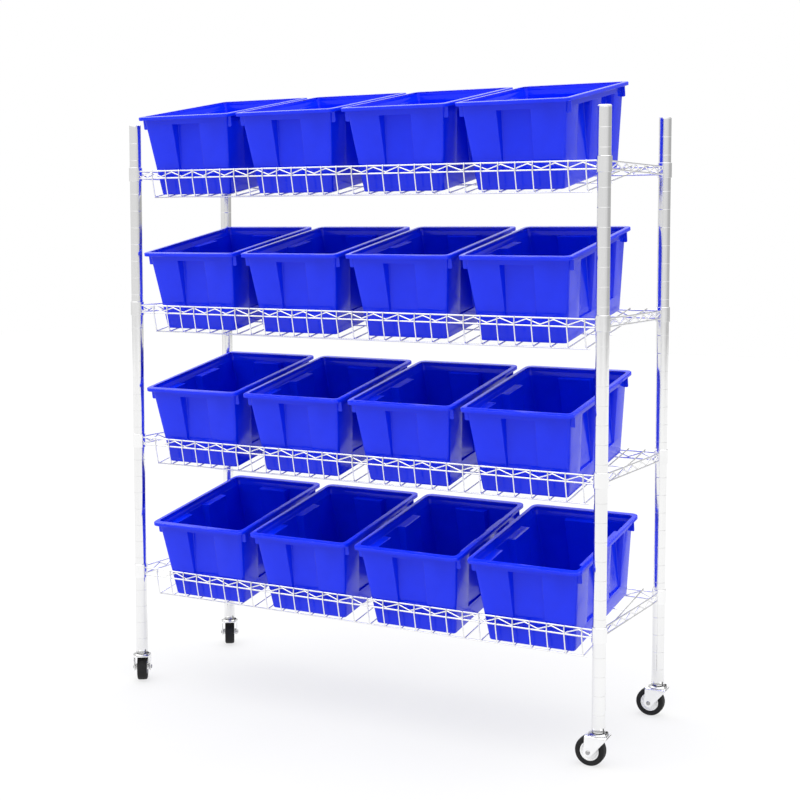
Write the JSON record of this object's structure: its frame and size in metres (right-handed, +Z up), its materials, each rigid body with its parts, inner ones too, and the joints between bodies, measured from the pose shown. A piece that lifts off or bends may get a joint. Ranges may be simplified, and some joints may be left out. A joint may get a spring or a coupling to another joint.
{
  "type": "wire shelf cart",
  "caption": "Tall wheeled wire shelf cart: chrome posts on swivel casters, slanted wire shelves with a low front fence, each holding a row of open plastic totes.",
  "frame": {"origin": "on the floor under the middle of the cart's bounding box", "axes": "+Z up, +X along the cart to its right end, -Y towards the low front edge of the shelves"},
  "size_m": [1.5662, 0.5652, 1.7907],
  "materials": {
    "post_chrome": "bright chrome plate on grooved steel tube",
    "wire_chrome": "bright chrome plate on welded steel wire",
    "light_plastic": "light grey moulded plastic, used by the post caps and the split sleeves",
    "tote_plastic": "glossy moulded blue plastic",
    "caster_steel": "bright zinc plate on pressed steel",
    "bolt_steel": "zinc plated axle rivets",
    "hub_plastic": "white moulded plastic",
    "tyre_rubber": "black rubber tread, slightly dusty"
  },
  "bodies": {
    "root": {"post_front_left": "post_chrome", "cap_front_left": "light_plastic", "caster_front_left_stem": "caster_steel", "caster_front_left_raceway": "caster_steel", "post_front_right": "post_chrome", "cap_front_right": "light_plastic", "caster_front_right_stem": "caster_steel", "caster_front_right_raceway": "caster_steel", "post_back_left": "post_chrome", "cap_back_left": "light_plastic", "caster_back_left_stem": "caster_steel", "caster_back_left_raceway": "caster_steel", "post_back_right": "post_chrome", "cap_back_right": "light_plastic", "caster_back_right_stem": "caster_steel", "caster_back_right_raceway": "caster_steel", "shelf_1_rim": "wire_chrome", "shelf_1_mat": "wire_chrome", "shelf_1_fence": "wire_chrome", "shelf_2_rim": "wire_chrome", "shelf_2_mat": "wire_chrome", "shelf_2_fence": "wire_chrome", "shelf_3_rim": "wire_chrome", "shelf_3_mat": "wire_chrome", "shelf_3_fence": "wire_chrome", "shelf_4_rim": "wire_chrome", "shelf_4_mat": "wire_chrome", "shelf_4_fence": "wire_chrome"},
    "caster_front_left_swivel": {"caster_front_left_fork": "caster_steel", "caster_front_left_axle": "bolt_steel"},
    "caster_front_left_wheel": {"caster_front_left_hub": "hub_plastic", "caster_front_left_tyre": "tyre_rubber"},
    "caster_front_right_swivel": {"caster_front_right_fork": "caster_steel", "caster_front_right_axle": "bolt_steel"},
    "caster_front_right_wheel": {"caster_front_right_hub": "hub_plastic", "caster_front_right_tyre": "tyre_rubber"},
    "caster_back_left_swivel": {"caster_back_left_fork": "caster_steel", "caster_back_left_axle": "bolt_steel"},
    "caster_back_left_wheel": {"caster_back_left_hub": "hub_plastic", "caster_back_left_tyre": "tyre_rubber"},
    "caster_back_right_swivel": {"caster_back_right_fork": "caster_steel", "caster_back_right_axle": "bolt_steel"},
    "caster_back_right_wheel": {"caster_back_right_hub": "hub_plastic", "caster_back_right_tyre": "tyre_rubber"},
    "tote_1_1": {"tote_1_1": "tote_plastic"},
    "tote_1_2": {"tote_1_2": "tote_plastic"},
    "tote_1_3": {"tote_1_3": "tote_plastic"},
    "tote_1_4": {"tote_1_4": "tote_plastic"},
    "tote_2_1": {"tote_2_1": "tote_plastic"},
    "tote_2_2": {"tote_2_2": "tote_plastic"},
    "tote_2_3": {"tote_2_3": "tote_plastic"},
    "tote_2_4": {"tote_2_4": "tote_plastic"},
    "tote_3_1": {"tote_3_1": "tote_plastic"},
    "tote_3_2": {"tote_3_2": "tote_plastic"},
    "tote_3_3": {"tote_3_3": "tote_plastic"},
    "tote_3_4": {"tote_3_4": "tote_plastic"},
    "tote_4_1": {"tote_4_1": "tote_plastic"},
    "tote_4_2": {"tote_4_2": "tote_plastic"},
    "tote_4_3": {"tote_4_3": "tote_plastic"},
    "tote_4_4": {"tote_4_4": "tote_plastic"}
  },
  "joints": [
    {"name": "caster_front_left_swivel", "type": "hinge", "parent": "root", "child": "caster_front_left_swivel", "pos_m": [-0.73665, -0.23276, 0.085], "axis": [0, 0, 1], "continuous": true},
    {"name": "caster_front_left_spin", "type": "hinge", "parent": "caster_front_left_swivel", "child": "caster_front_left_wheel", "pos_m": [-0.74812, -0.21638, 0.0395], "axis": [0.8192, 0.5736, 0], "continuous": true},
    {"name": "caster_front_right_swivel", "type": "hinge", "parent": "root", "child": "caster_front_right_swivel", "pos_m": [0.75335, -0.23276, 0.085], "axis": [0, 0, 1], "continuous": true},
    {"name": "caster_front_right_spin", "type": "hinge", "parent": "caster_front_right_swivel", "child": "caster_front_right_wheel", "pos_m": [0.7334, -0.23415, 0.0395], "axis": [-0.0698, 0.9976, 0], "continuous": true},
    {"name": "caster_back_left_swivel", "type": "hinge", "parent": "root", "child": "caster_back_left_swivel", "pos_m": [-0.73665, 0.22524, 0.085], "axis": [0, 0, 1], "continuous": true},
    {"name": "caster_back_left_spin", "type": "hinge", "parent": "caster_back_left_swivel", "child": "caster_back_left_wheel", "pos_m": [-0.74812, 0.24162, 0.0395], "axis": [0.8192, 0.5736, 0], "continuous": true},
    {"name": "caster_back_right_swivel", "type": "hinge", "parent": "root", "child": "caster_back_right_swivel", "pos_m": [0.75335, 0.22524, 0.085], "axis": [0, 0, 1], "continuous": true},
    {"name": "caster_back_right_spin", "type": "hinge", "parent": "caster_back_right_swivel", "child": "caster_back_right_wheel", "pos_m": [0.7334, 0.22385, 0.0395], "axis": [-0.0698, 0.9976, 0], "continuous": true},
    {"name": "tote_1_1_slide", "type": "slide", "parent": "root", "child": "tote_1_1", "axis": [0, 0.984, 0.1781], "range_m": [0, 0.45]},
    {"name": "tote_1_2_slide", "type": "slide", "parent": "root", "child": "tote_1_2", "axis": [0, 0.984, 0.1781], "range_m": [0, 0.45]},
    {"name": "tote_1_3_slide", "type": "slide", "parent": "root", "child": "tote_1_3", "axis": [0, 0.984, 0.1781], "range_m": [0, 0.45]},
    {"name": "tote_1_4_slide", "type": "slide", "parent": "root", "child": "tote_1_4", "axis": [0, 0.984, 0.1781], "range_m": [0, 0.45]},
    {"name": "tote_2_1_slide", "type": "slide", "parent": "root", "child": "tote_2_1", "axis": [0, 0.984, 0.1781], "range_m": [0, 0.45]},
    {"name": "tote_2_2_slide", "type": "slide", "parent": "root", "child": "tote_2_2", "axis": [0, 0.984, 0.1781], "range_m": [0, 0.45]},
    {"name": "tote_2_3_slide", "type": "slide", "parent": "root", "child": "tote_2_3", "axis": [0, 0.984, 0.1781], "range_m": [0, 0.45]},
    {"name": "tote_2_4_slide", "type": "slide", "parent": "root", "child": "tote_2_4", "axis": [0, 0.984, 0.1781], "range_m": [0, 0.45]},
    {"name": "tote_3_1_slide", "type": "slide", "parent": "root", "child": "tote_3_1", "axis": [0, 0.984, 0.1781], "range_m": [0, 0.45]},
    {"name": "tote_3_2_slide", "type": "slide", "parent": "root", "child": "tote_3_2", "axis": [0, 0.984, 0.1781], "range_m": [0, 0.45]},
    {"name": "tote_3_3_slide", "type": "slide", "parent": "root", "child": "tote_3_3", "axis": [0, 0.984, 0.1781], "range_m": [0, 0.45]},
    {"name": "tote_3_4_slide", "type": "slide", "parent": "root", "child": "tote_3_4", "axis": [0, 0.984, 0.1781], "range_m": [0, 0.45]},
    {"name": "tote_4_1_slide", "type": "slide", "parent": "root", "child": "tote_4_1", "axis": [0, 0.984, 0.1781], "range_m": [0, 0.45]},
    {"name": "tote_4_2_slide", "type": "slide", "parent": "root", "child": "tote_4_2", "axis": [0, 0.984, 0.1781], "range_m": [0, 0.45]},
    {"name": "tote_4_3_slide", "type": "slide", "parent": "root", "child": "tote_4_3", "axis": [0, 0.984, 0.1781], "range_m": [0, 0.45]},
    {"name": "tote_4_4_slide", "type": "slide", "parent": "root", "child": "tote_4_4", "axis": [0, 0.984, 0.1781], "range_m": [0, 0.45]}
  ]
}
